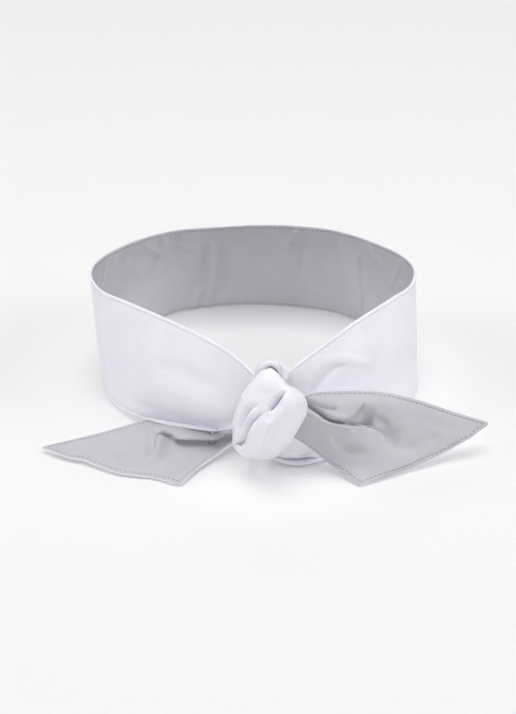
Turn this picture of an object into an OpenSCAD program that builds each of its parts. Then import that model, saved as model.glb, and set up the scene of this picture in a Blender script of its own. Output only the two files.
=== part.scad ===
// Tie-on sports headband: one long two-layer strip of cloth with slanted ends,
// closed by an overhand knot, standing on its lower edge with the two tails spread.
// +Z is up, -Y is the side with the knot, and the origin is the centre of the
// head opening on the surface that the band stands on.

/* [Strip] */
// Width of the flat strip
strip_w = 66; // [60:1:72]
// Thickness of one layer of cloth
cloth_t = 0.45; // [0.3:0.05:0.5]
// Space between the two layers, filled at the edges by the turned-in seam allowance
ply_gap = 0.5; // [0.4:0.05:0.6]

/* [Loop] */
// Width of the tied loop, left to right
loop_w = 180; // [172:1:190]
// Depth of the tied loop, from the back of the head to the knot
loop_d = 186; // [178:1:196]

/* [Stitching] */
// Distance of the topstitching from the edge
stitch_in = 3; // [2.5:0.5:6]
// Width of the sewing thread
thread_w = 0.5; // [0.4:0.1:0.8]
// Height of the thread on the cloth
thread_h = 0.25; // [0.2:0.05:0.4]
// Width of the turned-in seam allowance
allowance_w = 7; // [5:0.5:9]

/* [Hidden] */

lilac = "#e6e5ef";
grey = "#b6b4ba";
seam_air = 0.03;      // clearance between pieces of cloth and thread that only touch
face = ply_gap / 2 + cloth_t;

// The stations below are laid out for this size and stretched to the driving sizes.
drawn = [180, 186, 66];
function fitted(p) = [p.x * loop_w / drawn.x, p.y * loop_d / drawn.y, p.z * strip_w / drawn.z];

// Band: lower edge and upper edge of the standing strip, from the left of the knot
// round the back of the head to the right of the knot.
band_stations = [
    [[-10, -84, 20], [-2, -90, 57]],
    [[-20, -78, 13], [-14, -75, 61.5]],
    [[-36, -67, 8.5], [-31, -59, 64]],
    [[-55, -55, 5.5], [-50, -42, 65.5]],
    [[-72, -39, 3], [-69, -26, 66.5]],
    [[-83, -20, 1], [-83, -12, 67]],
    [[-88, 5, 0], [-90, 9, 66.5]],
    [[-86, 31, 0], [-89, 29, 65]],
    [[-73, 60, 0], [-75, 50, 64]],
    [[-47, 84, 0], [-47, 68.5, 64]],
    [[-15, 92.5, 0], [-14, 73.5, 64]],
    [[18, 91.5, 0], [17, 71.5, 64]],
    [[48, 82, 0], [46, 61, 64]],
    [[74, 55, 0], [72, 39, 65]],
    [[88, 21, 0], [86, 16, 66]],
    [[89, -9, 0], [84, -8, 67]],
    [[78, -37, 1], [70.5, -27, 66.5]],
    [[58, -60, 2.5], [52, -46, 65]],
    [[39, -75, 5], [37, -63, 63]],
    [[20, -81, 12], [15, -92, 56]]
];

// Front wrap: left edge, three points across and right edge, from the top of the
// knot down its front and under it.
front_wrap_stations = [
    [[-1, -91, 58.5], [3, -92, 60], [8, -92, 60.5], [12, -93, 59], [15, -95, 55]],
    [[-6, -98, 55], [-1, -102, 57], [6, -104, 58], [14, -103, 56], [21, -99, 52]],
    [[-11, -101, 47], [-4, -107, 48], [6, -110, 48], [16, -108, 47], [25, -102, 44.5]],
    [[-13.5, -100, 36], [-6, -108, 36], [5, -111, 36], [16, -109, 37], [25, -102, 36]],
    [[-12.5, -96, 23], [-5, -104, 23], [4, -107, 24], [14, -106, 26], [21.5, -100, 27]],
    [[-9.5, -91, 12.5], [-3, -98, 11], [4, -101, 11], [11, -100, 13], [16, -97, 16]],
    [[-6, -87, 6.5], [-1, -91, 4], [3, -93, 3.5], [7, -93, 4.5], [10, -92, 7.5]],
    [[-7, -80, 5], [-2, -81, 2], [2, -82, 1.5], [6, -83, 2.5], [9, -84, 5]]
];

// Back wrap: from the arch over the top of the knot, down behind it.
back_wrap_stations = [
    [[12, -91, 54], [13, -86, 53], [14, -80, 51], [14, -75, 47]],
    [[11, -92, 61], [12, -87, 61], [12, -80, 58], [11, -73, 53]],
    [[6, -92.5, 65.5], [5, -86, 65.5], [4, -78, 62.5], [3, -71.5, 56]],
    [[0, -88.5, 63], [-3, -83, 62], [-5, -76, 57], [-4, -70, 49]],
    [[-5, -83, 53], [-8, -79, 50], [-7, -73.5, 45], [-1, -68.5, 39]],
    [[-9, -78, 40], [-8, -74, 37], [-3, -70, 33], [4, -67.5, 30]],
    [[-8, -76, 26], [-4, -72, 24], [2, -69, 22.5], [9, -67.5, 21]],
    [[-3, -76, 16], [1, -72.5, 15], [6, -70, 14.5], [13, -69, 15]]
];

// Tails: edge that ends in the long tip, three points across and edge that ends in
// the blunt corner, from the knot outwards.
left_tail_stations = [
    [[-2, -70, 9.5], [-2, -73, 10], [-2, -76, 10], [-2, -79, 9.5], [-2, -82, 9]],
    [[-18, -60, 4], [-16, -66, 6.5], [-15, -71, 7.5], [-14, -75, 7], [-13, -78.5, 6.5]],
    [[-36, -54, 3], [-32, -61, 5], [-28, -70, 6], [-24, -78, 5], [-20, -85, 3.5]],
    [[-58, -52, 2.5], [-50, -60, 4], [-42, -71, 5.5], [-34, -82, 3.5], [-27, -92.5, 2.5]],
    [[-85, -64, 3.5], [-73, -71, 4], [-60, -79, 3], [-46, -89, 2], [-34, -99.5, 1.5]],
    [[-114, -77, 3], [-98, -89, 3], [-81, -93.5, 2.5], [-62, -99.5, 2], [-40, -106, 1.5]]
];
right_tail_stations = [
    [[19, -93, 44], [19.5, -93, 37], [19.5, -92.5, 30], [19, -91.5, 23], [18, -91, 17]],
    [[29, -88, 46.5], [28, -92, 38], [28, -90, 30], [26, -88, 21], [23, -88, 13.5]],
    [[40, -82, 45], [37, -90, 37], [36, -90, 27], [33, -87, 17], [30, -87.5, 9.5]],
    [[60, -81, 42.5], [53, -91, 33], [49, -95, 23], [44, -92, 12], [38, -91, 6]],
    [[90, -79, 31], [78, -87, 25], [68, -94, 17], [56, -97, 8], [46, -97.5, 3.5]],
    [[122, -71.5, 16], [106, -81, 14], [90, -89, 10], [72, -97, 5.5], [55, -105, 1.5]]
];

// Smooth curve through four stations; a station may be a point or a whole row of points.
function blend(a, b, c, d, t) =
    0.5 * (2 * b + (c - a) * t + (2 * a - 5 * b + 4 * c - d) * t * t
        + (3 * b - a - 3 * c + d) * t * t * t);

// The station list s read at u from 0 to 1.
function at(s, u) =
    let (n = len(s) - 1, k = min(floor(u * n), n - 1), t = u * n - k)
    blend(k > 0 ? s[k - 1] : 2 * s[0] - s[1], s[k], s[k + 1],
        k + 2 <= n ? s[k + 2] : 2 * s[n] - s[n - 1], t);

function fitted_rows(s) = [for (row = s) [for (p = row) fitted(p)]];
function grid(s, us, vs) =
    let (rows = fitted_rows(s)) [for (u = us) let (row = at(rows, u)) [for (v = vs) at(row, v)]];

function unit(v) = v / max(norm(v), 0.000001);
function normals(g) =
    let (m = len(g) - 1, n = len(g[0]) - 1)
    [for (i = [0:m]) [for (j = [0:n])
        let (du = g[min(i + 1, m)][j] - g[max(i - 1, 0)][j],
            dv = g[i][min(j + 1, n)] - g[i][max(j - 1, 0)])
        unit(cross(du, dv))]];

// Steps along and across a strip, with a pair of steps for each line of thread.
function steps(n) = [for (i = [0:n]) i / n];
stitch_v = stitch_in / strip_w;
thread_v = thread_w / strip_w;
allowance_v = allowance_w / strip_w;
across = [0, stitch_v, stitch_v + thread_v, allowance_v, 0.3, 0.5, 0.7,
    1 - allowance_v, 1 - stitch_v - thread_v, 1 - stitch_v, 1];
last = len(across) - 1;
band_along = steps(57);
knot_along = steps(21);
end_u = 0.94;         // where the topstitching runs across a tail's slanted end
tail_along = concat([for (i = [0:11]) i / 12 * end_u], [end_u, end_u + 0.01, 1]);
tail_end = len(tail_along) - 1;

// A thin solid on rows i0 to i1 and columns j0 to j1 of a grid, from low to high
// along the normals. A rim on the surface that the band stands on lies flat on it.
module slab(g, nn, i0, i1, j0, j1, low, high) {
    m = i1 - i0;
    n = j1 - j0;
    w = n + 1;
    half = (m + 1) * w;
    points = [for (h = [low, high]) for (i = [i0:i1]) for (j = [j0:j1])
        let (p = g[i][j] + h * nn[i][j]) [p.x, p.y, g[i][j].z > 0.01 ? max(p.z, 0) : 0]];
    function id(i, j) = i * w + j;
    bottom = [for (i = [0:m - 1]) for (j = [0:n - 1])
        each [[id(i, j), id(i + 1, j), id(i + 1, j + 1)], [id(i, j), id(i + 1, j + 1), id(i, j + 1)]]];
    top = [for (f = bottom) [f[2] + half, f[1] + half, f[0] + half]];
    rim = concat(
        [for (i = [0:m]) id(i, 0)], [for (j = [1:n]) id(m, j)],
        [for (i = [m - 1:-1:0]) id(i, n)], [for (j = [n - 1:-1:1]) id(0, j)]);
    sides = [for (k = [0:len(rim) - 1]) let (a = rim[k], b = rim[(k + 1) % len(rim)])
        each [[b, a, a + half], [b, a + half, b + half]]];
    polyhedron(points, concat(bottom, top, sides));
}

// The two layers, side +1 for the face along the normals and -1 for the other.
module ply(g, side) {
    a = side * ply_gap / 2;
    b = side * face;
    slab(g, normals(g), 0, len(g) - 1, 0, last, min(a, b), max(a, b));
}

// A line of thread on both faces, on columns j0 to j0 + 1.
module thread_line(g, i0, i1, j0, j1) {
    a = face + seam_air;
    slab(g, normals(g), i0, i1, j0, j1, a, a + thread_h);
    slab(g, normals(g), i0, i1, j0, j1, -a - thread_h, -a);
}

module allowance(g, i0, i1, j0, j1) {
    h = ply_gap / 2 - seam_air;
    slab(g, normals(g), i0, i1, j0, j1, -h, h);
}

band = grid(band_stations, band_along, across);
front_wrap = grid(front_wrap_stations, knot_along, across);
back_wrap = grid(back_wrap_stations, knot_along, across);
left_tail = grid(left_tail_stations, tail_along, across);
right_tail = grid(right_tail_stations, tail_along, across);
band_end = len(band_along) - 1;
knot_end = len(knot_along) - 1;

module band_outer_panel() { color(lilac) ply(band, -1); }
module band_lining_panel() { color(grey) ply(band, 1); }
module band_upper_seam_allowance() { color(grey) allowance(band, 0, band_end, last - 3, last); }
module band_lower_seam_allowance() { color(grey) allowance(band, 0, band_end, 0, 3); }
module band_upper_topstitch() { color(lilac) thread_line(band, 0, band_end, last - 2, last - 1); }
module band_lower_topstitch() { color(lilac) thread_line(band, 0, band_end, 1, 2); }

module knot_front_wrap_outer() { color(lilac) ply(front_wrap, 1); }
module knot_front_wrap_lining() { color(grey) ply(front_wrap, -1); }
module knot_front_wrap_topstitch() {
    color(lilac) {
        thread_line(front_wrap, 1, knot_end - 3, 1, 2);
        thread_line(front_wrap, 1, knot_end - 3, last - 2, last - 1);
    }
}
module knot_back_wrap_outer() { color(lilac) ply(back_wrap, -1); }
module knot_back_wrap_lining() { color(grey) ply(back_wrap, 1); }

// The crossing layers held inside the knot, pressed into one lump.
core_r = 7;
core_centres = [[4, -91, 45], [8, -91, 43], [4, -89, 22], [9, -88, 20]];
module knot_gathered_core() {
    color(lilac) hull() for (p = core_centres) translate(fitted(p)) sphere(r = core_r, $fn = 24);
}

// The topstitching and the allowance run along both edges of a tail and across its end.
module tail_topstitch(g) {
    thread_line(g, 0, tail_end - 1, 1, 2);
    thread_line(g, 0, tail_end - 1, last - 2, last - 1);
    thread_line(g, tail_end - 2, tail_end - 1, 2, last - 2);
}
module tail_allowance(g) {
    allowance(g, 0, tail_end, 0, 3);
    allowance(g, 0, tail_end, last - 3, last);
    allowance(g, tail_end - 2, tail_end, 3, last - 3);
}
module left_tail_outer_panel() { color(lilac) ply(left_tail, -1); }
module left_tail_lining_panel() { color(grey) ply(left_tail, 1); }
module left_tail_seam_allowance() { color(grey) tail_allowance(left_tail); }
module left_tail_topstitch() { color(grey) tail_topstitch(left_tail); }
module right_tail_outer_panel() { color(lilac) ply(right_tail, 1); }
module right_tail_lining_panel() { color(grey) ply(right_tail, -1); }
module right_tail_seam_allowance() { color(grey) tail_allowance(right_tail); }
module right_tail_topstitch() { color(grey) tail_topstitch(right_tail); }

band_outer_panel();
band_lining_panel();
band_upper_seam_allowance();
band_lower_seam_allowance();
band_upper_topstitch();
band_lower_topstitch();
knot_front_wrap_outer();
knot_front_wrap_lining();
knot_front_wrap_topstitch();
knot_back_wrap_outer();
knot_back_wrap_lining();
knot_gathered_core();
left_tail_outer_panel();
left_tail_lining_panel();
left_tail_seam_allowance();
left_tail_topstitch();
right_tail_outer_panel();
right_tail_lining_panel();
right_tail_seam_allowance();
right_tail_topstitch();
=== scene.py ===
import math

import bpy
import numpy as np
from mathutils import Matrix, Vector


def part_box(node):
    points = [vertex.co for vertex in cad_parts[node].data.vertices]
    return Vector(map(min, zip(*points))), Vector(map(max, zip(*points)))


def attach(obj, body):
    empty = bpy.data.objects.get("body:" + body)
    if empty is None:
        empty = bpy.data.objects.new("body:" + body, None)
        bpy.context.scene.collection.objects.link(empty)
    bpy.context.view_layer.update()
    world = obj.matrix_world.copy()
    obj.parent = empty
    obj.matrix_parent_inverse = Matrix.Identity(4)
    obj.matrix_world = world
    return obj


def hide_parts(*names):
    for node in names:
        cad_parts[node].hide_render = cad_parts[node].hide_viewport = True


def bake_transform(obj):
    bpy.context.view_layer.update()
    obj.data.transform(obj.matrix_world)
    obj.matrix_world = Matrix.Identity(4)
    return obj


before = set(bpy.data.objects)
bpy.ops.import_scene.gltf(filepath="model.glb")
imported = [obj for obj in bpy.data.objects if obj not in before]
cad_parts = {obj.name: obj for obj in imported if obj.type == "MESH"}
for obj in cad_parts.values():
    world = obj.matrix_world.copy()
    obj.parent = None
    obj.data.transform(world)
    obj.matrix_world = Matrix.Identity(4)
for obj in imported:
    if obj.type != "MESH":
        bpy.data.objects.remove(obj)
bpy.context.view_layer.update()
mm = 0.001
print("frame loaded:", len(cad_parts), "nodes")

# The strip is drawn in mm round a band panel of this size, and stretched to the one in the frame.
drawnLow, drawnHigh = np.array([-91.5, -94.0, 0.0]), np.array([90.0, 94.0, 67.0])
panelLow, panelHigh = (np.array(corner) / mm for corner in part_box("band_outer_panel"))


def placed(points):
    offset = np.asarray(points, float) - drawnLow
    return panelLow + offset * (panelHigh - panelLow) / (drawnHigh - drawnLow)


# how the strip is sewn, in mm
sewing = {
    "width": 66.0,
    "cloth": 0.3,         # one layer of cloth
    "stitchLine": 2.2,    # topstitching, from the edge
    "pitch": 2.6,         # one stitch and the gap after it
    "stitchLength": 1.9,
    "threadWidth": 0.45,
    "threadHeight": 0.36,
    "threadLift": 0.06,   # the middle of a stitch, over the cloth
    "allowance": (0.7, 6.4),    # the turned-in edge lies between these distances from the edge
    "liningTuck": 0.1,    # the lining's edge sinks this far behind the outer cloth's,
    "tuckWidth": 1.5,     # easing out over this width
    "rimShrinksBelow": 44.0,    # where the strip is gathered narrower than this, its rim is too
    "floorGap": 0.05,
    "weaveUnit": 10.0,    # cloth for one unit of the UV map
    # half the thickness of the strip at these distances from its edge, and from flatFrom on: a padded
    # rim, the groove that the stitches pull in, the allowance turned in behind it, two flat layers
    "rimDistances": [0, 0.12, 0.35, 0.7, 1.2, 1.6, 1.9, 2.2, 2.5, 2.9, 3.6, 4.8, 6.4, 7.8, 9.2],
    "flatFrom": 14,
    "half": [0, 0.34, 0.62, 0.78, 0.82, 0.72, 0.55, 0.44, 0.55, 0.64, 0.68, 0.66, 0.6, 0.52, 0.46, 0.42],
}
stitchIndex = sewing["rimDistances"].index(sewing["stitchLine"])


# ---- curves and grids
def spline(knots, ts):
    # a smooth curve through the knots, at these parts of its length
    knots = np.asarray(knots, float)
    last = len(knots) - 1
    padded = np.concatenate([[2 * knots[0] - knots[1]], knots, [2 * knots[-1] - knots[-2]]])
    x = np.clip(np.asarray(ts, float), 0, 1) * last
    k = np.minimum(x.astype(int), last - 1)
    t = (x - k).reshape((-1,) + (1,) * (knots.ndim - 1))
    a, b, c, d = (padded[k + i] for i in range(4))
    return 0.5 * (2 * b + (c - a) * t + (2 * a - 5 * b + 4 * c - d) * t ** 2
                  + (3 * b - a - 3 * c + d) * t ** 3)


def walk(curve, marks):
    # the points of a polyline at these distances along it
    run = np.concatenate([[0], np.cumsum(np.linalg.norm(np.diff(curve, axis=0), axis=1))])
    return np.stack([np.interp(marks, run, curve[:, axis]) for axis in range(3)], 1)


def lengthOf(curve):
    return np.linalg.norm(np.diff(curve, axis=0), axis=1).sum()


def normalsOf(grid):
    n = np.cross(np.gradient(grid, axis=0), np.gradient(grid, axis=1))
    return n / np.maximum(np.linalg.norm(n, axis=2, keepdims=True), 1e-9)


def smoothStep(x):
    x = np.clip(x, 0, 1)
    return x * x * (3 - 2 * x)


foldStyle = {
    "steps": 8,              # straight lengths for each point of a fold's path
    "narrowEnd": 0.45,       # how wide it still is where it ends
}


def fold(path, height, width, fade=(0.3, 0.3)):
    # a ridge or a hollow through these points of a plane, with its widths to the left and to the
    # right, and how much of it each end takes to taper off
    return {"path": path, "height": height, "width": width, "fade": fade}


def foldRelief(first, second, folds):
    # the height of the folds at each point; folds that meet don't add up
    ridges, valleys = np.zeros_like(first), np.zeros_like(first)
    for each in folds:
        path = spline(each["path"], np.linspace(0, 1, foldStyle["steps"] * len(each["path"])))
        steps = np.linalg.norm(np.diff(path, axis=0), axis=1)
        nearest = np.full_like(first, np.inf)
        where = np.zeros_like(first)
        side = np.zeros_like(first)
        run = 0
        for a, b, step in zip(path[:-1], path[1:], steps):
            t = ((first - a[0]) * (b[0] - a[0]) + (second - a[1]) * (b[1] - a[1])) / step ** 2
            t = np.clip(t, 0, 1)
            gap = np.hypot(first - a[0] - t * (b[0] - a[0]), second - a[1] - t * (b[1] - a[1]))
            turn = (b[0] - a[0]) * (second - a[1]) - (b[1] - a[1]) * (first - a[0])
            closer = gap < nearest
            nearest = np.where(closer, gap, nearest)
            where = np.where(closer, (run + t * step) / steps.sum(), where)
            side = np.where(closer, turn, side)
            run += step
        left, right = each["width"]
        fadeIn, fadeOut = each["fade"]
        fade = smoothStep(where / fadeIn) * smoothStep((1 - where) / fadeOut)
        taper = foldStyle["narrowEnd"] + (1 - foldStyle["narrowEnd"]) * fade
        across = nearest / (np.where(side > 0, left, right) * taper)
        relief = each["height"] * fade * np.exp(-across ** 2)
        ridges += np.maximum(relief, 0) ** 3
        valleys += np.maximum(-relief, 0) ** 3
    return np.cbrt(ridges) - np.cbrt(valleys)


# Folds and the knot are laid out as they are seen from an eye in front of the knot and above it: a
# point's place is where the line from the eye to it meets an upright plane, and a fold moves it
# along that line, so the folds stay where they are drawn however deep they are.
eye = np.array([0.0, -743.0, 445.0])


def seenOn(plane, points):
    part = (plane - eye[1]) / (points[..., 1] - eye[1])
    return points[..., 0] * part, eye[2] + (points[..., 2] - eye[2]) * part


def fromSeen(plane, seen):
    # points given by where they are seen on the plane (x and height) and by their own y
    seen = np.asarray(seen, float)
    part = (plane - eye[1]) / (seen[:, 1] - eye[1])
    return np.stack([seen[:, 0] / part, seen[:, 1], eye[2] + (seen[:, 2] - eye[2]) / part], 1)


def folded(points, along, across, settings):
    # the strip with its folds, in the order: along the line from the eye, straight up, out of the cloth
    if "foldsSeen" in settings:
        x, height = seenOn(settings["foldPlane"], points)
        toEye = eye - points
        toEye /= np.linalg.norm(toEye, axis=2, keepdims=True)
        points = points + toEye * foldRelief(x, height, settings["foldsSeen"])[..., None]
    if "foldsOnFloor" in settings:
        points = points.copy()
        points[..., 2] += foldRelief(points[..., 0], points[..., 1], settings["foldsOnFloor"])
    if "ripples" in settings:
        points = points + normalsOf(points) * settings["ripples"](along, across)[..., None]
    return points


def makeStrip(settings):
    # a grid of points on the middle of the strip: rows run across it, columns along it.
    # Each station is a line across the strip; its points are matched with the next station's by
    # their distance along the line, or by their number where byLength is off
    fine, rowsPerStation = 121, 60      # points across a station, and rows from each to the next
    sections = []
    for station in settings["stations"]:
        station = fromSeen(settings["seenPlane"], station) if "seenPlane" in settings else placed(station)
        if settings.get("byLength", True):
            curve = spline(station, np.linspace(0, 1, fine * 2))
            curve = walk(curve, np.linspace(0, lengthOf(curve), fine))
        else:
            curve = spline(station, np.linspace(0, 1, fine))
        sections.append(curve)
    dense = spline(np.array(sections), np.linspace(0, 1, rowsPerStation * len(sections)))

    rim = np.array(sewing["rimDistances"])
    inner = np.linspace(0, 1, settings["columns"] + 2)[1:-1]
    grid = []
    for row in dense:
        width = lengthOf(row)
        edge = rim * min(1.0, width / sewing["rimShrinksBelow"])
        middle = edge[-1] + inner * (width - 2 * edge[-1])
        grid.append(walk(row, np.concatenate([edge, middle, (width - edge)[::-1]])))
    grid = np.array(grid)
    columns = grid.shape[1]
    flatMiddle = rim[-1] + inner * (sewing["width"] - 2 * rim[-1])
    acrossFlat = np.concatenate([rim, flatMiddle, (sewing["width"] - rim)[::-1]])
    sideDistance = np.minimum(acrossFlat, sewing["width"] - acrossFlat)

    lengths = np.array([lengthOf(grid[:, j]) for j in range(columns)])
    endCut = "cornerRadii" in settings
    if endCut:
        # the strip ends in a slanted cut with rounded corners, and a rim like its sides
        leastSlant = 0.35
        heading = grid[-1] - grid[-4]
        heading /= np.linalg.norm(heading, axis=1, keepdims=True)
        cut = np.gradient(grid[-1], axis=0)
        cut /= np.linalg.norm(cut, axis=1, keepdims=True)
        slant = np.maximum(np.sqrt(1 - (heading * cut).sum(1) ** 2), leastSlant)
        firstRadius, lastRadius = settings["cornerRadii"]
        radius = np.where(acrossFlat < sewing["width"] / 2, firstRadius, lastRadius)
        short = radius - np.minimum(sideDistance, radius)
        lengths = lengths - (radius - np.sqrt(radius ** 2 - short ** 2)) / slant
        body = np.linspace(0, 1, settings["rows"])[:-1]
        marks = np.concatenate([
            body[:, None] * (lengths - rim[-1] / slant)[None, :],
            lengths[None, :] - rim[::-1][:, None] / slant[None, :],
        ])
        endDistance = (lengths[None, :] - marks) * slant[None, :]
    else:
        marks = np.linspace(0, 1, settings["rows"])[:, None] * lengths[None, :]
        endDistance = np.full(marks.shape, sewing["width"])      # its ends are hidden, and have no rim
    points = np.stack([walk(grid[:, j], marks[:, j]) for j in range(columns)], 1)
    across = np.broadcast_to(acrossFlat, marks.shape)
    points = folded(points, marks, across, settings)
    edgeDistance = np.minimum(np.broadcast_to(sideDistance, marks.shape), endDistance)
    half = np.interp(edgeDistance, sewing["rimDistances"] + [sewing["flatFrom"]], sewing["half"])
    points[..., 2] = np.maximum(points[..., 2], half + sewing["floorGap"])
    return {
        "points": points, "normals": normalsOf(points), "half": half, "along": marks, "across": across,
        "edgeDistance": edgeDistance, "endCut": endCut, "length": lengths.mean(), "longest": lengths.max(),
    }


# ---- meshes
def added(name, data):
    thing = bpy.data.objects.new(name, data)
    bpy.context.scene.collection.objects.link(thing)
    return thing


def placedPiece(name, mesh, material):
    mesh.polygons.foreach_set("use_smooth", [True] * len(mesh.polygons))
    mesh.materials.append(material)
    mesh.update()
    return added(name, mesh)


def gridMesh(name, points, uvs, outward, material):
    rows, columns = points.shape[:2]
    ids = np.arange(rows * columns).reshape(rows, columns)
    a, b, c, d = ids[:-1, :-1], ids[1:, :-1], ids[1:, 1:], ids[:-1, 1:]
    quads = np.stack([a, b, c, d] if outward > 0 else [a, d, c, b], -1).reshape(-1, 4)
    mesh = bpy.data.meshes.new(name)
    mesh.from_pydata((points.reshape(-1, 3) * mm).tolist(), [], quads.tolist())
    layer = mesh.uv_layers.new(name="weave")
    flat = uvs.reshape(-1, 2)[quads.reshape(-1)]
    layer.data.foreach_set("uv", flat.astype(np.float32).ravel())
    return placedPiece(name, mesh, material)


def baked(piece):
    # the modifiers' result as a plain mesh
    bpy.context.view_layer.update()
    graph = bpy.context.evaluated_depsgraph_get()
    mesh = bpy.data.meshes.new_from_object(piece.evaluated_get(graph))
    mesh.name = piece.name
    old = piece.data
    piece.modifiers.clear()
    piece.data = mesh
    bpy.data.meshes.remove(old)
    return piece


def thickened(piece, thickness, offset):
    solid = piece.modifiers.new("thickness", "SOLIDIFY")
    solid.thickness = thickness * mm
    solid.offset = offset
    solid.use_rim = True
    return baked(piece)


def weaveMap(strip, pick):
    # the weave follows the strip, so its UV map is the cloth laid flat
    return np.stack([strip["along"][pick], strip["across"][pick]], -1) / sewing["weaveUnit"]


def clothLayer(name, strip, side, wraps, material):
    # one layer of the strip, on the side of its normals (1) or the other (-1); the layer that
    # wraps turns over the edge and hides the raw side of the other
    leastHeight = 0.02
    rows, columns = strip["points"].shape[:2]
    half = strip["half"].copy()
    if wraps:
        across = [(1, -1)] + [(j, 1) for j in range(columns)] + [(columns - 2, -1)]
        along = [(i, 1) for i in range(rows)]
        if strip["endCut"]:
            along += [(rows - 2, -1)]
    else:
        fromRim = strip["edgeDistance"] - sewing["rimDistances"][1]
        half -= sewing["liningTuck"] * smoothStep(1 - fromRim / sewing["tuckWidth"])
        across = [(j, 1) for j in range(1, columns - 1)]
        along = [(i, 1) for i in range(rows - (1 if strip["endCut"] else 0))]
    i, si = (np.array(x) for x in zip(*along))
    j, sj = (np.array(x) for x in zip(*across))
    pick = np.ix_(i, j)
    turn = np.minimum(si[:, None], sj[None, :])
    points = strip["points"][pick] + strip["normals"][pick] * (half[pick] * turn * side)[..., None]
    points[..., 2] = np.maximum(points[..., 2], leastHeight)
    piece = gridMesh(name, points, weaveMap(strip, pick), side, material)
    return thickened(piece, sewing["cloth"], -1)


def joined(name, pieces):
    bpy.ops.object.select_all(action="DESELECT")
    for piece in pieces:
        piece.select_set(True)
    whole = pieces[0]
    bpy.context.view_layer.objects.active = whole
    bpy.ops.object.join()
    whole.name = whole.data.name = name
    return whole


def allowanceStrip(name, strip, material):
    # the raw edges turned in between the layers, along both sides
    low, high = (sewing["rimDistances"].index(distance) for distance in sewing["allowance"])
    rows, columns = strip["points"].shape[:2]
    if strip["endCut"]:
        rows -= 3      # clear of the cut end's own rim
    pieces = []
    for turnedIn in (range(low, high + 1), range(columns - 1 - high, columns - low)):
        pick = np.ix_(range(rows), turnedIn)
        pieces.append(gridMesh(name, strip["points"][pick], weaveMap(strip, pick), 1, material))
    return thickened(joined(name, pieces), sewing["cloth"], 0)


# ---- materials
def srgb(code):
    # sRGB hex to the linear colour that the shaders take
    channels = [int(code[i:i + 2], 16) / 255 for i in (1, 3, 5)]
    return tuple(c / 12.92 if c <= 0.04045 else ((c + 0.055) / 1.055) ** 2.4 for c in channels) + (1.0,)


def nodesOf(data):
    # the node tree of a new material or world, emptied
    data.use_nodes = True
    data.node_tree.nodes.clear()
    return data.node_tree


def addNode(tree, kind, props=(), values=(), links=()):
    node = tree.nodes.new(kind)
    for key, value in dict(props).items():
        setattr(node, key, value)
    for key, value in dict(values).items():
        node.inputs[key].default_value = value
    for key, source in dict(links).items():
        tree.links.new(source, node.inputs[key])
    return node


def wovenCloth(name, light, dark, yarn, roughness, sheen):
    material = bpy.data.materials.new(name)
    tree = nodesOf(material)
    coords = addNode(tree, "ShaderNodeTexCoord")
    # over-and-under of the yarns: two crossed waves, one yarn apart
    yarns = addNode(tree, "ShaderNodeVectorMath", {"operation": "SCALE"},
                    {"Scale": math.pi * sewing["weaveUnit"] / yarn}, {0: coords.outputs["UV"]})
    split = addNode(tree, "ShaderNodeSeparateXYZ", links={0: yarns.outputs[0]})
    warp = addNode(tree, "ShaderNodeMath", {"operation": "SINE"}, links={0: split.outputs["X"]})
    weft = addNode(tree, "ShaderNodeMath", {"operation": "SINE"}, links={0: split.outputs["Y"]})
    weave = addNode(tree, "ShaderNodeMath", {"operation": "MULTIPLY"},
                    links={0: warp.outputs[0], 1: weft.outputs[0]})
    # slubs: slightly thicker yarns here and there, drawn out along the strip
    slubScale = addNode(tree, "ShaderNodeMapping", values={"Scale": (0.8, 9.0, 1.0)},
                        links={0: coords.outputs["UV"]})
    slub = addNode(tree, "ShaderNodeTexNoise", values={"Scale": 2.4, "Detail": 3.0, "Roughness": 0.6},
                   links={"Vector": slubScale.outputs[0]})
    # the soft handle of the cloth: shallow unevenness a centimetre across
    soft = addNode(tree, "ShaderNodeTexNoise", values={"Scale": 70.0, "Detail": 2.0, "Roughness": 0.5},
                   links={"Vector": coords.outputs["Object"]})
    tone = addNode(tree, "ShaderNodeMix", {"data_type": "FLOAT"}, {"Factor": 0.45},
                   {2: slub.outputs["Fac"], 3: soft.outputs["Fac"]})
    ramp = addNode(tree, "ShaderNodeValToRGB", links={0: tone.outputs[0]})
    ramp.color_ramp.elements[0].position, ramp.color_ramp.elements[1].position = 0.35, 0.65
    ramp.color_ramp.elements[0].color, ramp.color_ramp.elements[1].color = srgb(dark), srgb(light)
    handle = addNode(tree, "ShaderNodeBump", values={"Strength": 0.35, "Distance": 0.0006},
                     links={"Height": soft.outputs["Fac"]})
    bump = addNode(tree, "ShaderNodeBump", values={"Strength": 0.35, "Distance": 0.00005},
                   links={"Height": weave.outputs[0], "Normal": handle.outputs[0]})
    shader = addNode(tree, "ShaderNodeBsdfPrincipled", values={
        "Roughness": roughness, "IOR": 1.5, "Specular IOR Level": 0.3,
        "Sheen Weight": sheen, "Sheen Roughness": 0.45, "Sheen Tint": srgb(light),
    }, links={"Base Color": ramp.outputs[0], "Normal": bump.outputs[0]})
    addNode(tree, "ShaderNodeOutputMaterial", links={0: shader.outputs[0]})
    return material


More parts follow.
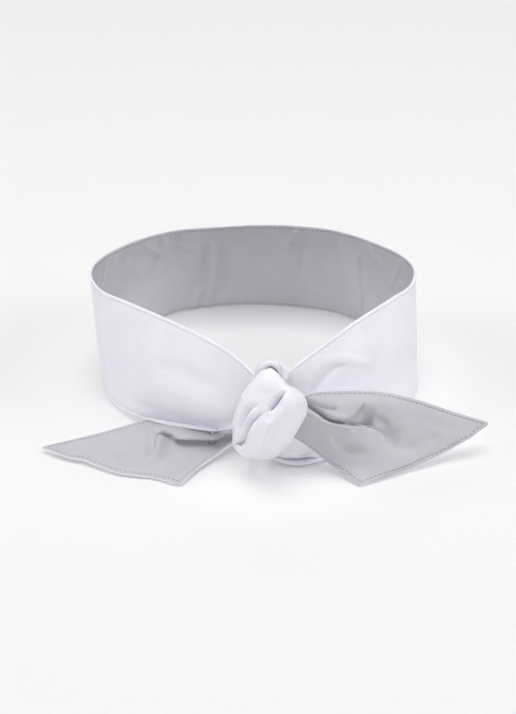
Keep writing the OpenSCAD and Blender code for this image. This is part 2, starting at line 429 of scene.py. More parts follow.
def sewingThread(name, colour):
    material = bpy.data.materials.new(name)
    tree = nodesOf(material)
    coords = addNode(tree, "ShaderNodeTexCoord")
    # the ply twist, a third of a millimetre long
    twist = addNode(tree, "ShaderNodeTexNoise", values={"Scale": 3000.0, "Detail": 1.0},
                    links={"Vector": coords.outputs["Object"]})
    bump = addNode(tree, "ShaderNodeBump", values={"Strength": 0.4, "Distance": 0.00005},
                   links={"Height": twist.outputs["Fac"]})
    shader = addNode(tree, "ShaderNodeBsdfPrincipled", values={
        "Base Color": srgb(colour), "Roughness": 0.5, "IOR": 1.58,
        "Sheen Weight": 0.2, "Sheen Roughness": 0.4,
    }, links={"Normal": bump.outputs[0]})
    addNode(tree, "ShaderNodeOutputMaterial", links={0: shader.outputs[0]})
    return material


# Woven polyester microfibre, lightly brushed: matt and even, with a soft bloom where it curves away.
# Its real yarns are about 0.2 mm apart, too fine to show, so they are drawn 0.7 mm apart.
outerCloth = wovenCloth("lilac_white_microfibre", "#f3f2f9", "#ecebf4",
                        yarn=0.7, roughness=0.75, sheen=0.25)
# the same cloth dyed a cool grey, which shows its creases more and its bloom less
liningCloth = wovenCloth("cool_grey_microfibre", "#c8c6cc", "#c0bec5",
                         yarn=0.7, roughness=0.8, sheen=0.2)
# spun polyester sewing thread: a little glossier than the cloth, so each stitch catches the light
outerThread = sewingThread("lilac_polyester_thread", "#d8d6e2")
# the lining's thread is dark grey partly as its own tone and partly as painted shade of the stitch holes
# and the groove the stitches pull in
liningThreadWithPaintedShade = sewingThread("grey_thread_painted_groove_shade", "#8b8990")
print("materials made")


# ---- stitches
def stitchTree():
    tree = bpy.data.node_groups.new("topstitch", "GeometryNodeTree")
    interface = tree.interface
    interface.new_socket("Geometry", in_out="INPUT", socket_type="NodeSocketGeometry")
    for label in ("Pitch", "Stitch Length", "Thread Width", "Thread Height"):
        interface.new_socket(label, in_out="INPUT", socket_type="NodeSocketFloat")
    interface.new_socket("Thread", in_out="INPUT", socket_type="NodeSocketMaterial")
    interface.new_socket("Geometry", in_out="OUTPUT", socket_type="NodeSocketGeometry")
    given = addNode(tree, "NodeGroupInput")
    curve = addNode(tree, "GeometryNodeMeshToCurve", links={"Mesh": given.outputs["Geometry"]})
    spaced = addNode(tree, "GeometryNodeResampleCurve", {"mode": "LENGTH"},
                     links={"Curve": curve.outputs[0], "Length": given.outputs["Pitch"]})
    tangent = addNode(tree, "GeometryNodeInputTangent")
    faceUp = addNode(tree, "GeometryNodeInputNamedAttribute", {"data_type": "FLOAT_VECTOR"},
                     {"Name": "faceUp"})
    heading = addNode(tree, "FunctionNodeAlignRotationToVector", {"axis": "X"},
                      links={"Vector": tangent.outputs[0]})
    laid = addNode(tree, "FunctionNodeAlignRotationToVector", {"axis": "Z", "pivot_axis": "X"},
                   links={"Rotation": heading.outputs[0], "Vector": faceUp.outputs[0]})
    bead = addNode(tree, "GeometryNodeMeshUVSphere", values={"Segments": 8, "Rings": 6, "Radius": 0.5})
    size = addNode(tree, "ShaderNodeCombineXYZ", links={
        "X": given.outputs["Stitch Length"], "Y": given.outputs["Thread Width"],
        "Z": given.outputs["Thread Height"]})
    shaped = addNode(tree, "GeometryNodeTransform",
                     links={"Geometry": bead.outputs[0], "Scale": size.outputs[0]})
    laidDown = addNode(tree, "GeometryNodeInstanceOnPoints", links={
        "Points": spaced.outputs[0], "Instance": shaped.outputs[0], "Rotation": laid.outputs[0]})
    real = addNode(tree, "GeometryNodeRealizeInstances", links={0: laidDown.outputs[0]})
    coloured = addNode(tree, "GeometryNodeSetMaterial",
                       links={0: real.outputs[0], "Material": given.outputs["Thread"]})
    addNode(tree, "NodeGroupOutput", links={0: coloured.outputs[0]})
    return tree


topstitch = stitchTree()


def stitchLines(strip, side):
    # for each line of stitches, its points and the way out of the cloth there. A cut end has one line
    # that goes out along one edge, over the end and back; a strip without one has a line on each edge
    rows, columns = strip["points"].shape[:2]
    near, far = stitchIndex, columns - 1 - stitchIndex
    if strip["endCut"]:
        stop = rows - 1 - stitchIndex
        first = [(i, near) for i in range(stop + 1)]
        across = [(stop, j) for j in range(near + 1, far + 1)]
        back = [(i, far) for i in range(stop - 1, -1, -1)]
        paths = [first + across + back]
    else:
        paths = [[(i, j) for i in range(rows)] for j in (near, far)]
    lines = []
    for path in paths:
        i, j = (np.array(x) for x in zip(*path))
        out = strip["normals"][i, j] * side
        height = (strip["half"][i, j] + sewing["threadLift"])[:, None]
        lines.append((strip["points"][i, j] + out * height, out))
    return lines


def stitches(name, lines, material):
    vertices, edges, ups = [], [], []
    for points, out in lines:
        start = len(vertices)
        vertices += (points * mm).tolist()
        ups += out.tolist()
        edges += [(start + i, start + i + 1) for i in range(len(points) - 1)]
    mesh = bpy.data.meshes.new(name)
    mesh.from_pydata(vertices, edges, [])
    attribute = mesh.attributes.new("faceUp", "FLOAT_VECTOR", "POINT")
    attribute.data.foreach_set("vector", np.array(ups, np.float32).ravel())
    piece = added(name, mesh)
    modifier = piece.modifiers.new("topstitch", "NODES")
    modifier.node_group = topstitch
    given = {
        "Pitch": sewing["pitch"] * mm, "Stitch Length": sewing["stitchLength"] * mm,
        "Thread Width": sewing["threadWidth"] * mm, "Thread Height": sewing["threadHeight"] * mm,
        "Thread": material,
    }
    for socket in topstitch.interface.items_tree:
        if socket.in_out == "INPUT" and socket.name in given:
            modifier[socket.identifier] = given[socket.name]
    piece = baked(piece)
    piece.data.polygons.foreach_set("use_smooth", [True] * len(piece.data.polygons))
    return piece


def sewnLayers(name, strip, liningSide, front):
    # both cloths of a strip, the edges turned in between them, and the stitches on either cloth,
    # those on the cloth that is to the front first
    pieces = [
        clothLayer(name + "_outer_cloth", strip, -liningSide, True, outerCloth),
        clothLayer(name + "_lining_cloth", strip, liningSide, False, liningCloth),
        allowanceStrip(name + "_seam_allowances", strip, liningCloth),
    ]
    threads = {"outer": (-liningSide, outerThread), "lining": (liningSide, liningThreadWithPaintedShade)}
    for cloth in sorted(threads, key=lambda cloth: cloth != front):
        side, thread = threads[cloth]
        pieces.append(stitches(f"{name}_topstitches_{cloth}", stitchLines(strip, side), thread))
    return pieces


# ---- band
rippleSettings = {
    "seed": 11,
    "waveHeight": 0.5,            # the slow waves of a soft strip standing on its edge:
    "waveLengths": (13, 30, 31),  # along the strip, across it, and along it again, in mm a radian
    "firstPucker": 90.0,          # puckers that the topstitching draws in, from here on, in mm
    "spacing": (7, 14),
    "lean": (-0.7, 0.7),
    "halfWidth": (1.7, 3.2),
    "reach": (9, 24),             # into the strip
    "height": (0.7, 1.7),
    "signs": (-1, 1, 1),          # more ridges than hollows
    "upperShare": 0.72,           # how many start at the upper edge
    "clearOfEdge": 3.5,
    "leastShare": 0.1,            # what is left of them beside the knot, where the strip is pulled flat
    "flat": (95, 105),            # how far it is pulled flat at its two ends,
    "grow": (60, 50),             # and over what length the rest comes in
}


def bandRipples(along, across):
    r = rippleSettings
    chance = np.random.default_rng(r["seed"])
    total = along.max()
    behind = (smoothStep((along - r["flat"][0]) / r["grow"][0])
              * smoothStep((total - r["flat"][1] - along) / r["grow"][1]))
    quick, upright, slow = r["waveLengths"]
    relief = r["waveHeight"] * np.sin(along / quick + across / upright) * np.sin(along / slow + 1)
    place = r["firstPucker"]
    while place < total - r["firstPucker"]:
        place += chance.uniform(*r["spacing"])
        lean, wide, long = (chance.uniform(*r[key]) for key in ("lean", "halfWidth", "reach"))
        height = chance.uniform(*r["height"]) * chance.choice(r["signs"])
        inward = sewing["width"] - across if chance.random() < r["upperShare"] else across
        ridge = np.exp(-((along - place - lean * inward) / wide) ** 2)
        ridge *= np.exp(-(inward / long) ** 2) * smoothStep(inward / r["clearOfEdge"])
        relief = relief + height * ridge
    return relief * (r["leastShare"] + (1 - r["leastShare"]) * behind)


bandSettings = {
    "rows": 420,
    "columns": 44,
    "foldPlane": -100,
    "stations": [
        [(-6, -81, 20), (-4, -82, 26), (-5, -86, 34), (-3, -88, 46), (1, -91, 55)],
        [(-22, -73, 12.3), (-19, -72, 16.5), (-21, -77.5, 25), (-18, -77, 43), (-14, -75.5, 61.5)],
        [(-36, -67, 9.7), (-34, -65.5, 14), (-36.5, -69, 23), (-35, -65.5, 43), (-31, -60, 64)],
        [(-55, -55, 6), (-54, -54, 13), (-55, -55.5, 22), (-53.5, -51, 44), (-50, -45, 65.7)],
        [(-72, -39, 3), (-71.5, -34, 35), (-69.5, -29.5, 66.5)],
        [(-84, -19, 1), (-86, -18, 34), (-85, -16, 66.5)],
        [(-88.5, 5, 0.3), (-91.5, 5, 34), (-92.5, 4, 66.5)],
        [(-86, 31, 0), (-88.5, 29, 33), (-88.5, 26.5, 65.5)],
        [(-73, 60, 0), (-75, 56, 33), (-74, 49, 64)],
        [(-47, 84, 0), (-48, 77.5, 33), (-47, 67, 64)],
        [(-15, 92.5, 0), (-15, 84, 33), (-14, 72.5, 64)],
        [(18, 91.5, 0), (18, 82.5, 33), (17, 72.5, 64.6)],
        [(48, 82, 0), (48, 72, 33), (45.5, 62.5, 65)],
        [(74, 55, 0), (74, 46, 33), (72.5, 39.5, 66)],
        [(88, 21, 0), (87.5, 18, 33), (85.4, 14.5, 66.8)],
        [(89, -9, 0), (87, -9, 34), (83.5, -8, 66.5)],
        [(78, -37, 1), (75, -32, 35), (70.5, -25.5, 66.5)],
        [(58, -60, 2), (57, -58, 14), (56, -55.5, 34), (52, -46, 65)],
        [(41, -79.5, 1.2), (41, -79.5, 5), (39.5, -76, 10), (39, -74, 20), (39, -69, 42),
         (37, -63.5, 63)],
        [(21, -89, 1), (21, -86.6, 3), (21, -84.8, 5), (21, -87.6, 7), (21, -90.3, 8.9), (21, -88.4, 13),
         (21, -84.5, 26), (20, -84, 42), (16.5, -89.5, 60.6)],
        [(6, -86, 3), (7, -84.5, 4.6), (8, -82.5, 6.3), (9, -86.4, 8), (9, -89.4, 9.5), (9, -88, 14),
         (9, -84.5, 27), (8, -86, 42), (9.5, -91, 53)],
    ],
    "foldsSeen": [
        # the lower edge by the knot kicks out under a deep tuck
        fold([(-62, 39.5), (-50.7, 37.6), (-45.2, 36.4), (-37.5, 35.2), (-28.7, 33.3), (-16, 30.2)],
             height=-5.2, width=(3.8, 0.8), fade=(0.35, 0.05)),
        # soft pull lines that run into the knot on the right
        fold([(46, 69), (38, 68), (32.8, 63.5), (28.4, 55.6), (26, 48)],
             height=-3, width=(3.4, 1.6), fade=(0.4, 0.1)),
        fold([(60, 68), (50, 71), (42, 72.8), (33, 71), (25.3, 65), (20, 56)], height=1.2, width=(3, 3)),
        fold([(60, 92), (46, 86), (32, 78), (24, 70)], height=-0.7, width=(4, 4)),
        fold([(-58, 72), (-40, 66), (-24, 58), (-14, 52)], height=-0.8, width=(5, 5)),
        fold([(-62, 60), (-44, 54), (-26, 47), (-14, 44)], height=0.7, width=(5, 5)),
        # the edge beside the knot doubles under on the right
        fold([(6, 15.8), (8.9, 15.4), (13.2, 14), (17.5, 13.6), (21.8, 13.9), (26, 14.4), (33, 15)],
             height=-4.5, width=(0.6, 1.9), fade=(0.05, 0.2)),
        # standing folds of the inside, at the back
        fold([(-22.2, 138), (-21.8, 122), (-23.6, 104)], height=2.6, width=(1.6, 2.6), fade=(0.15, 0.2)),
        fold([(-18.4, 137), (-17.8, 122), (-19.4, 106)], height=-3, width=(2.6, 1.2), fade=(0.15, 0.2)),
        fold([(-28, 137), (-27, 130), (-27.3, 121.7), (-29.3, 110)], height=-2.2, width=(2, 2.6)),
        fold([(-38.1, 138), (-36.1, 134.5), (-32, 133.3), (-28.5, 129)], height=1.8, width=(1.4, 1.8)),
        fold([(-53.5, 136), (-49.2, 131.6), (-44, 128)], height=2, width=(1.6, 2)),
        fold([(-64, 128), (-59.4, 122.3), (-54, 116)], height=1.8, width=(1.8, 2)),
        fold([(-72.5, 123), (-69.2, 114.7), (-64, 105)], height=2, width=(1.8, 2.4)),
        fold([(-8, 139), (-2, 135.6), (3, 128)], height=1.6, width=(1.6, 2)),
        fold([(7, 140), (12.5, 137.9), (18.6, 131)], height=1.5, width=(1.6, 2)),
        fold([(47.7, 134), (46.8, 120.8), (48.6, 108), (48.8, 96)],
             height=3.2, width=(2, 2.6), fade=(0.2, 0.15)),
        fold([(69, 128), (65.2, 118), (61, 107)], height=2.8, width=(1.2, 1.6), fade=(0.15, 0.3)),
        fold([(49, 133), (57, 126.5), (64, 120.5)], height=1.9, width=(1.8, 2.2)),
        fold([(24.9, 139), (21.7, 132.7), (21, 119)], height=-2, width=(2.8, 2.8)),
        fold([(34, 137.5), (39.9, 129.1), (41, 120)], height=-1.8, width=(2.2, 2.6)),
    ],
    "ripples": bandRipples,
}
band = makeStrip(bandSettings)
bandPieces = sewnLayers("band", band, 1, "outer")
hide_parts("band_outer_panel")
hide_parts("band_lining_panel")
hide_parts("band_upper_seam_allowance", "band_lower_seam_allowance")
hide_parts("band_upper_topstitch", "band_lower_topstitch")
print("band made, strip length", round(band["length"]))

# ---- knot: front wrap, from under the arch down its face and in below. Its stations run from the
# left edge to the right edge, as seen on the plane y = -100: x, own y, height.
wrapSettings = {
    "rows": 200,
    "columns": 104,
    "byLength": False,
    "seenPlane": -100,
    "foldPlane": -100,
    "stations": [
        [(3.5, -86, 63.5), (5, -86, 65), (6.5, -86, 65), (9, -86, 62.5), (11.5, -86, 59.5)],
        [(2.3, -91.5, 65.2), (4.2, -92.3, 66.7), (6.2, -92.5, 67.2), (9.3, -93.3, 64.4),
         (12.5, -93.5, 59.7)],
        [(-1, -93, 62.2), (2, -96.5, 62), (6, -98, 61.8), (11, -98.5, 60), (15.3, -95.5, 56.6)],
        [(-4, -94, 58), (0, -98.5, 57.8), (6, -100.5, 57), (14, -102, 56), (19.4, -96.5, 54.3)],
        [(-6.5, -94.5, 54), (-2, -99.5, 54), (5, -101.5, 53), (16, -104.5, 52), (22.6, -97, 51.1)],
        [(-8.5, -95, 49.7), (-4, -100.5, 49.5), (4, -103, 48.5), (16, -107, 47.8), (24.3, -97, 46.6)],
        [(-10.6, -95, 44), (-6, -101, 44), (2, -104, 43.5), (14.5, -109, 43), (24.2, -97, 42)],
        [(-12, -95, 38.8), (-8, -101, 39), (0, -105, 38.5), (12.5, -110, 38.5), (22.8, -97, 37.8)],
        [(-12.8, -94.5, 34), (-9, -100, 34), (-2, -105, 34), (10, -110.5, 33.5), (20.9, -97, 33.6)],
        [(-12.4, -94, 30), (-9.5, -99, 30), (-4, -103.5, 29.5), (7.5, -110, 29), (18.9, -97, 29.2)],
        [(-12.6, -94, 25.5), (-10, -98, 25.5), (-5.5, -101.5, 25.3), (5, -108.5, 24.8),
         (16.7, -96.5, 24.6)],
        [(-12.2, -94, 21.5), (-9.5, -98, 20.5), (-5, -100, 20), (3.5, -105.5, 19.5), (13.7, -96, 21)],
        [(-9.5, -93.5, 17.8), (-6.5, -96.5, 16.2), (-2.5, -98, 15.3), (3, -100, 15), (10.3, -95, 17)],
        [(-6.8, -91, 15.6), (-4, -92.5, 14.4), (-1, -93, 13.6), (3, -93.5, 13.5), (7.5, -92, 14.6)],
        [(-5, -86, 17), (-2, -86, 16.6), (1, -86, 16.5), (4, -86, 16.5), (7, -86, 17)],
        [(-4, -79, 22), (-2, -79, 21.8), (1, -79, 21.8), (4, -79, 21.8), (6, -79, 22)],
    ],
    "foldsSeen": [
        # the left panel turns under the pleat
        fold([(1.2, 46.2), (-1.3, 44.7), (-2.7, 43.7), (-4, 41.9), (-5.2, 39.4), (-6.6, 36.6),
              (-7.9, 33.5), (-9.2, 29.6), (-10.3, 25.4)], height=-5, width=(0.6, 3), fade=(0.3, 0.5)),
        # the pleat turns under the broad lobe, down to the pocket
        fold([(6.1, 43.7), (4, 41.9), (0.8, 38.8), (-1.5, 36.3), (-2.8, 34.7), (-3.8, 32.2), (-4.7, 29.4),
              (-5.8, 25.6), (-7, 22)], height=-7.5, width=(0.6, 3.4), fade=(0.55, 0.04)),
        # the left panel turns under the top of the broad lobe
        fold([(14.3, 54.8), (12.8, 51.7), (10.9, 48), (9.3, 45.3), (7.4, 42.9), (5.3, 41), (4, 40)],
             height=-7, width=(0.6, 2.6), fade=(0.4, 0.3)),
        # lips and soft hollows of the broad lobe
        fold([(-0.4, 34.4), (-2.2, 31), (-3.2, 27.4), (-4.6, 23)], height=0.9, width=(1.6, 1.1)),
        fold([(15.2, 53), (13.2, 48.6), (11, 45)], height=0.8, width=(1.8, 1.1)),
        fold([(5, 41.5), (5.6, 38.8), (5.2, 35.6)], height=-1.2, width=(1.5, 1.5)),
        fold([(17.1, 48.7), (15, 43.7), (11.9, 38.4), (8.3, 31.3), (5.6, 24.9), (3.5, 18)],
             height=-1.7, width=(2.2, 1.9), fade=(0.3, 0.2)),
        fold([(2, 44), (-1.5, 40), (-4.5, 35.5), (-6.8, 30), (-8.5, 25.6)], height=0.8, width=(1.6, 1.3)),
        # the pocket at the lower end
        fold([(-11, 23.6), (-9.2, 22.1), (-7.2, 21.7)], height=-6.5, width=(2.4, 0.7), fade=(0.15, 0.1)),
    ],
}
wrap = makeStrip(wrapSettings)
wrapOuter = clothLayer("knot_front_wrap_outer_cloth", wrap, 1, True, outerCloth)
wrapLining = clothLayer("knot_front_wrap_lining_cloth", wrap, -1, False, liningCloth)
wrapStitches = stitches("knot_front_wrap_topstitches", stitchLines(wrap, 1), outerThread)
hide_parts("knot_front_wrap_outer")
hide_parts("knot_front_wrap_lining")
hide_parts("knot_front_wrap_topstitch")

# ---- knot: the arch over its top, which goes on down its back. Its stations run from the front lip back.
archSettings = {
    "rows": 140,
    "columns": 30,
    "byLength": False,
    "seenPlane": -100,
    "foldPlane": -100,
    "stations": [
        [(12.2, -91.5, 59.6), (12.9, -92.8, 60.2), (14, -91.5, 60.6), (13.5, -85, 63), (11, -78, 61)],
        [(11.1, -92.3, 62.6), (12.3, -93.8, 63.2), (14.6, -91, 63.4), (14.5, -86, 65.5), (12, -78, 64)],
        [(10, -92, 65.2), (11.8, -93.6, 65.8), (15.2, -90, 65.8), (14.5, -85.5, 67.8), (12.5, -78, 66)],
        [(9.1, -92, 67), (10.8, -93.3, 68.5), (13.6, -89.5, 68.4), (12.8, -85, 69), (11, -77.5, 67)],
        [(7.5, -92, 68.5), (8.6, -92.8, 70.2), (10.3, -88.8, 70.9), (9.5, -84.5, 70.4), (8.5, -77, 68.5)],
        [(6, -92, 69.1), (6.2, -92.8, 70.8), (7, -88.5, 72.2), (6.5, -84, 71), (6, -76, 69)],
        [(4.2, -92, 68.2), (3.7, -92.3, 70), (3.2, -88.2, 71.6), (3.2, -83.5, 70.2), (3, -75, 68)],
        [(2.9, -91.5, 66.7), (1.8, -91.8, 68.3), (0.8, -87.5, 69.6), (0.6, -83, 68.4), (0.6, -74, 65)],
        [(2, -90.5, 65.2), (0.6, -90.5, 66.2), (-0.7, -86.5, 66.6), (-1, -82, 65.6), (-1, -73.5, 62)],
        [(0.8, -88.5, 62.5), (-0.8, -88, 63.5), (-2.2, -85, 63.4), (-2.7, -80.5, 62.2),
         (-2.4, -72.5, 58)],
        [(-1.5, -86, 57), (-3, -85, 57.5), (-4.2, -83, 57.6), (-4.8, -79, 56.4), (-3.6, -71, 52)],
        [(-4, -82, 48), (-5.5, -81, 48.5), (-7, -78, 48.5), (-5, -73, 47), (2, -69, 45)],
        [(-4, -80, 38), (-4.5, -78.5, 38), (-3.5, -75.5, 38), (1, -72, 39), (8, -69, 39)],
        [(-2, -79, 28), (-1, -77.5, 28), (2, -74.5, 28.5), (6, -72, 29), (13, -70, 30)],
    ],
    "foldsSeen": [
        fold([(8.2, 71.8), (10.4, 69.5), (11.7, 66.9), (12, 63.3), (12.4, 60.3)],
             height=-2.8, width=(0.6, 1.8), fade=(0.3, 0.02)),
        fold([(13.8, 66.8), (13.4, 64), (12.7, 61)], height=-1.1, width=(0.6, 0.8), fade=(0.2, 0.02)),
    ],
}
arch = makeStrip(archSettings)
archOuter = clothLayer("knot_back_wrap_outer_cloth", arch, -1, True, outerCloth)
archLining = clothLayer("knot_back_wrap_lining_cloth", arch, 1, False, liningCloth)
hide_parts("knot_back_wrap_outer")
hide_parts("knot_back_wrap_lining")

# ---- knot: the crossing layers gathered inside it
coreSettings = {
    "centre": (6, -86, 35.5),
    "radii": (11, 8, 26),
    "pleats": 9,
    "pleatDepth": 0.12,
    "twist": 2.0,         # radians, from the middle to either end
    "around": 108,
    "rings": 48,
}


def gatheredCore(name, settings, material):
    turns, rings = settings["around"], settings["rings"] - 2
    around = np.linspace(0, 2 * math.pi, turns, endpoint=False)
    vertices = []
    for h in np.linspace(-1, 1, settings["rings"])[1:-1]:
        ring = math.sqrt(1 - h * h)
        pleat = np.abs(np.sin(around * settings["pleats"] / 2 + h * settings["twist"]))
        ripple = 1 + settings["pleatDepth"] * pleat
        vertices += [(ring * r * math.cos(a), ring * r * math.sin(a), h) for a, r in zip(around, ripple)]
    vertices += [(0, 0, -1), (0, 0, 1)]
    vertices = placed(np.array(vertices) * settings["radii"] + settings["centre"]) * mm
    bottom, top = rings * turns, rings * turns + 1
    faces = []
    for i in range(turns):
        following = (i + 1) % turns
        faces += [(r * turns + i, r * turns + following, (r + 1) * turns + following, (r + 1) * turns + i)
                  for r in range(rings - 1)]
        faces += [(bottom, following, i), (top, (rings - 1) * turns + i, (rings - 1) * turns + following)]
    mesh = bpy.data.meshes.new(name)
    mesh.from_pydata(vertices.tolist(), [], faces)
    mesh.uv_layers.new(name="weave")
    return placedPiece(name, mesh, material)


core = gatheredCore("knot_gathered_layers", coreSettings, liningCloth)
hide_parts("knot_gathered_core")
print("knot made")

# ---- left tail: lies on the floor with its grey side up, from the back edge to the front edge
leftSettings = {
    "rows": 150,
    "columns": 60,
    "cornerRadii": (2.4, 1.6),
    "stations": [
        [(-2, -70, 9.5), (-2, -73, 10), (-2, -76, 10), (-2, -79, 9.5), (-2, -82, 9)],
        [(-16, -58, 7), (-15, -62, 8.4), (-14, -65.5, 8.4), (-14, -67.4, 6.8), (-14, -63.4, 4.6),
         (-14, -66.5, 2.6), (-13.4, -71, 3), (-13, -75.4, 6)],
        [(-31, -54, 6), (-28, -62, 8), (-26, -68.5, 8.4), (-24, -72.8, 6.9), (-24, -68.4, 4.6),
         (-25, -65.4, 2.6), (-23.5, -73.5, 1.4), (-22.5, -79, 2), (-21.5, -83, 3.6)],
        [(-50, -50.5, 4.8), (-45.5, -57, 7), (-43, -64, 8.4), (-40.8, -72.6, 7), (-41, -68.4, 4.8),
         (-42, -65.4, 2.7), (-36, -76, 1.6), (-31, -84, 2), (-28, -89.8, 2.8)],
        [(-62, -50.5, 4.2), (-57, -55, 4.8), (-52.4, -60.5, 6.2), (-48.8, -66.6, 6.6),
         (-48.4, -65.4, 4.4), (-47.8, -66.5, 2.9), (-42.5, -78, 2.2), (-38.5, -87, 2), (-34, -98.5, 2.6)],
        [(-74, -56, 3.8), (-69, -62, 3.8), (-62, -70, 3.8), (-56, -79, 3.4), (-51.5, -85, 3),
         (-45, -92, 2.2), (-36, -102, 2.4)],
        [(-87, -62, 3.2), (-80, -69, 2.6), (-72, -78, 2), (-66, -85, 1.8), (-60, -90.5, 1.8),
         (-51, -97.5, 1.8), (-38, -105.5, 2.2)],
        [(-115.5, -75, 3), (-100, -84.4, 3), (-91.4, -87, 2.8), (-80, -93.8, 2.4), (-72, -98, 2.2),
         (-63, -99.8, 1.8), (-53, -101.7, 1.6), (-40, -108, 1.6)],
    ],
    "foldsOnFloor": [
        # the long ridge that the lobe runs out into
        fold([(-48, -60), (-50.6, -63), (-52.2, -66.6), (-53.2, -72), (-53.6, -78), (-55.2, -84),
              (-59.5, -88), (-64.7, -91), (-70, -94)], height=3.4, width=(4.4, 1.2), fade=(0.2, 0.6)),
        # the small dip of the lobe beside the knot
        fold([(-24.5, -60), (-24.4, -65), (-24.4, -69.8)], height=-5, width=(1.6, 1.6), fade=(0.01, 0.4)),
        fold([(-58.5, -54), (-56, -64), (-55.4, -73), (-56.4, -80), (-60, -84)],
             height=-2.4, width=(1.2, 4)),
        fold([(-72, -66), (-78, -75), (-86, -84)], height=0.7, width=(4, 4)),
        fold([(-90, -66), (-93, -74), (-99, -82)], height=-0.7, width=(4, 4)),
    ],
}
leftTail = makeStrip(leftSettings)

# ---- right tail: leans out from the knot with its grey side to the front, from the upper edge to
# the lower edge
rightSettings = {
    "rows": 170,
    "columns": 84,
    "cornerRadii": (3.2, 1.0),
    "foldPlane": -90,
    "stations": [
        [(19, -92, 45), (19.5, -92, 41), (19.5, -92, 38), (19.5, -93, 36), (19.5, -93.5, 33),
         (19.5, -92.5, 27), (18, -91, 20)],
        [(28.5, -86, 43.6), (29, -91, 42.2), (29.5, -93.5, 38), (30, -94.5, 34), (30, -95, 30),
         (29, -94.5, 24), (28, -92, 16), (27.5, -90.5, 12.3)],
        [(40, -83, 42.8), (40, -90, 40.6), (40, -93.5, 36), (40, -95, 31), (39.5, -95.5, 27),
         (38, -96, 19), (36, -94, 11), (35, -92.5, 6)],
        [(53, -81, 41.7), (52.5, -87.5, 39.4), (52.5, -90, 35), (52, -92, 30.5), (50.5, -93.8, 26.8),
         (48, -96, 19), (45, -97, 9), (42, -98, 3.2)],
        [(66, -80, 40), (65, -85.5, 37), (64.2, -87.8, 32.6), (63, -90, 28), (61.5, -92.5, 23.6),
         (57, -97, 16), (52, -99, 7.5), (46, -102.5, 2)],
        [(83, -78, 34.3), (80, -82, 30.6), (77, -84.5, 27), (74, -87, 23), (71.5, -88.5, 19.5),
         (69.5, -90.5, 15), (66, -95, 10.5), (59, -100, 5), (49, -105.5, 1.4)],
        [(102, -75, 25.4), (98, -79, 22), (94, -81.5, 19), (90, -84, 15.5), (86, -86.5, 12.5),
         (81, -89.5, 9), (73, -95, 6), (63, -101, 3), (50.7, -107, 1.2)],
        [(122.3, -72, 16.6), (116, -75, 14), (111, -78, 11.4), (103, -81, 8), (96, -84.5, 5.6),
         (86, -89.5, 3.8), (77, -94, 2.3), (62, -102, 1.2), (52.2, -108, 1)],
    ],
    "foldsSeen": [
        # the upper part turns under the lower one, from the knot along the lip and down into the cloth
        fold([(19, 43.3), (22.3, 40.9), (25.5, 38.3), (29.7, 35), (34.3, 31.2), (38.8, 29.2),
              (43.9, 28.2), (48.4, 27.5), (54.1, 26.7), (59.4, 25.3), (63.6, 22.6), (66.6, 18.3)],
             height=-5.4, width=(3, 0.6), fade=(0.02, 0.35)),
        fold([(52, 27.2), (56, 26.6), (59.8, 25.2), (63.8, 22.4), (66.6, 18), (69.2, 13.8), (72.4, 11)],
             height=-5.4, width=(6.5, 1.2), fade=(0.5, 0.5)),
        # the star-shaped hollow between them
        fold([(54.1, 42), (50.6, 35.9), (47.7, 32.4), (43.9, 29)],
             height=-5.4, width=(5.4, 0.5), fade=(0.45, 0.08)),
        fold([(54.3, 43), (55, 38), (55.4, 33), (54.5, 27)], height=-8, width=(5, 5), fade=(1.0, 0.03)),
        fold([(54.5, 40), (57.4, 35), (61.4, 31), (66, 27.4), (71, 24)],
             height=-3.6, width=(3, 4.4), fade=(0.6, 0.4)),
        # the small lobe that rests on the lip
        fold([(33, 35.5), (38, 32.6), (43, 31.8), (47, 34)], height=2.4, width=(2, 2)),
        fold([(25.5, 41.8), (31.9, 38.6), (35.3, 37.4), (38.6, 37.4), (41.5, 40)],
             height=-2, width=(1.7, 1.7)),
        # the lip's own edge, and the soft hollows of the lower part
        fold([(21, 40.2), (24.4, 37), (29, 33.5), (33.8, 29.8), (39, 27.8), (45, 26.8), (53, 25.4)],
             height=0.9, width=(0.9, 1.5)),
        fold([(35, 24), (38.4, 20), (41.8, 15.4), (46.6, 12), (53.5, 10.6), (61, 13)],
             height=-2.3, width=(4.4, 2.6), fade=(0.5, 0.5)),
        fold([(72, 11), (79.5, 14.3), (86.1, 18.3), (95, 23.6)], height=-0.9, width=(3.6, 3.6)),
        fold([(80, 34), (92, 29), (104, 22)], height=-0.6, width=(4, 4)),
    ],
}
rightTail = makeStrip(rightSettings)

tails = {
    "left_tail": {"strip": leftTail, "liningSide": 1, "bend": ((-2, -76, 8), (-24, -72, 8))},
    "right_tail": {"strip": rightTail, "liningSide": -1, "bend": ((19, -92, 30), (34, -90, 30))},
}
tailPieces = {}
for body, tail in tails.items():
    tailPieces[body] = sewnLayers(body, tail["strip"], tail["liningSide"], "lining")
    panels = ("_outer_panel", "_lining_panel", "_seam_allowance", "_topstitch")
    for piece, panel in zip(tailPieces[body], panels):
        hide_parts(body + panel)
    for piece in tailPieces[body]:
        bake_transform(piece)
print("tails made")

knotPieces = [wrapOuter, wrapLining, wrapStitches, archOuter, archLining, core]
for piece in bandPieces + knotPieces:
    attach(piece, "band")

for piece in bandPieces + knotPieces + sum(tailPieces.values(), []):
    name = piece.name
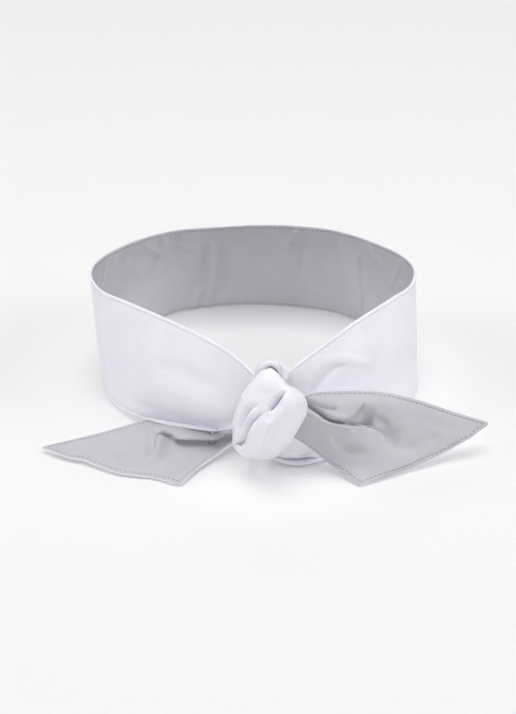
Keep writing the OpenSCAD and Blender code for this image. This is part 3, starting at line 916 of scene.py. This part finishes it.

# ---- floor: a matt white board with painted light: it glows faintly near the object, which lightens
# the shadows there, and more far from it, like a lit studio sweep, so low views have no dark horizon
floorSettings = {"radius": 14, "glowStarts": 0.9, "glowFull": 3.5, "nearGlow": 0.04, "farGlow": 0.62}
bpy.ops.mesh.primitive_circle_add(vertices=96, radius=floorSettings["radius"], fill_type="NGON")
floor = bpy.context.object
floor.name = "floor"
floorMaterial = bpy.data.materials.new("white_board_with_painted_glow")
boardTree = nodesOf(floorMaterial)
boardCoords = addNode(boardTree, "ShaderNodeTexCoord")
away = addNode(boardTree, "ShaderNodeVectorMath", {"operation": "LENGTH"},
               links={0: boardCoords.outputs["Object"]})
# painted light: the floor's own glow, faint beside the object and stronger far from it
glow = addNode(boardTree, "ShaderNodeMapRange", {"interpolation_type": "SMOOTHSTEP"}, {
    "From Min": floorSettings["glowStarts"], "From Max": floorSettings["glowFull"],
    "To Min": floorSettings["nearGlow"], "To Max": floorSettings["farGlow"],
}, {"Value": away.outputs["Value"]})
board = addNode(boardTree, "ShaderNodeBsdfPrincipled", values={
    "Base Color": srgb("#ebeaea"), "Roughness": 0.9, "Specular IOR Level": 0.1,
    "Emission Color": srgb("#ffffff"),
}, links={"Emission Strength": glow.outputs["Result"]})
addNode(boardTree, "ShaderNodeOutputMaterial", links={0: board.outputs[0]})
floor.data.materials.append(floorMaterial)

# ---- light: a white room lit from softboxes, with a soft fill from the front that throws no shadow
world = bpy.data.worlds.new("studio")
bpy.context.scene.world = world
worldTree = nodesOf(world)
rays = addNode(worldTree, "ShaderNodeLightPath")
# the room looks white, but gives the object only a little of its light
roomLight = {"given": 0.1, "seen": 0.88}
strength = addNode(worldTree, "ShaderNodeMapRange",
                   values={"To Min": roomLight["given"], "To Max": roomLight["seen"]},
                   links={"Value": rays.outputs["Is Camera Ray"]})
room = addNode(worldTree, "ShaderNodeBackground", values={"Color": srgb("#fcfcfe")},
               links={"Strength": strength.outputs[0]})
addNode(worldTree, "ShaderNodeOutputWorld", links={0: room.outputs[0]})

lamps = {
    "top_softbox": {"place": (0, -0.12, 2.6), "size": (1.6, 1.6), "watts": 35},
    "left_softbox": {"place": (-2.1, -0.3, 1.33), "size": (1.2, 1.2), "watts": 17.5},
    "right_softbox": {"place": (2.1, -0.45, 1.33), "size": (1.2, 1.2), "watts": 20},
    "back_softbox": {"place": (0, 2.2, 1.5), "size": (1.6, 1.0), "watts": 7},
}
lampTarget = (0, 0, 0.02)
for name, lamp in lamps.items():
    data = bpy.data.lights.new(name, "AREA")
    data.shape = "RECTANGLE"
    data.size, data.size_y = lamp["size"]
    data.energy = lamp["watts"]
    box = added(name, data)
    box.location = lamp["place"]
    box.rotation_euler = (Vector(lampTarget) - box.location).to_track_quat("-Z", "Y").to_euler()
    box.visible_camera = False
frontFill = {"strength": 0.88, "towards": (0, 0.78, -0.62)}
fillData = bpy.data.lights.new("front_fill", "SUN")
fillData.energy = frontFill["strength"]
fillData.use_shadow = False
fill = added("front_fill", fillData)
fill.rotation_euler = Vector(frontFill["towards"]).to_track_quat("-Z", "Y").to_euler()

# ---- camera
view = {
    "aim": (0, -7, 20),
    "elevation": 30,
    "distance": 850,
    "lens": 76.3,
    "sensor": 36,
    "clip": (0.05, 40),
}
tilt = math.radians(view["elevation"])
aim = Vector(view["aim"]) * mm
camera = added("camera", bpy.data.cameras.new("camera"))
camera.data.sensor_width = view["sensor"]
camera.data.lens = view["lens"]
camera.data.clip_start, camera.data.clip_end = view["clip"]
camera.location = aim + Vector((0, -math.cos(tilt), math.sin(tilt))) * view["distance"] * mm
camera.rotation_euler = (aim - camera.location).to_track_quat("-Z", "Y").to_euler()
bpy.context.scene.camera = camera
bpy.context.scene.view_settings.view_transform = "Standard"

print("scene made")
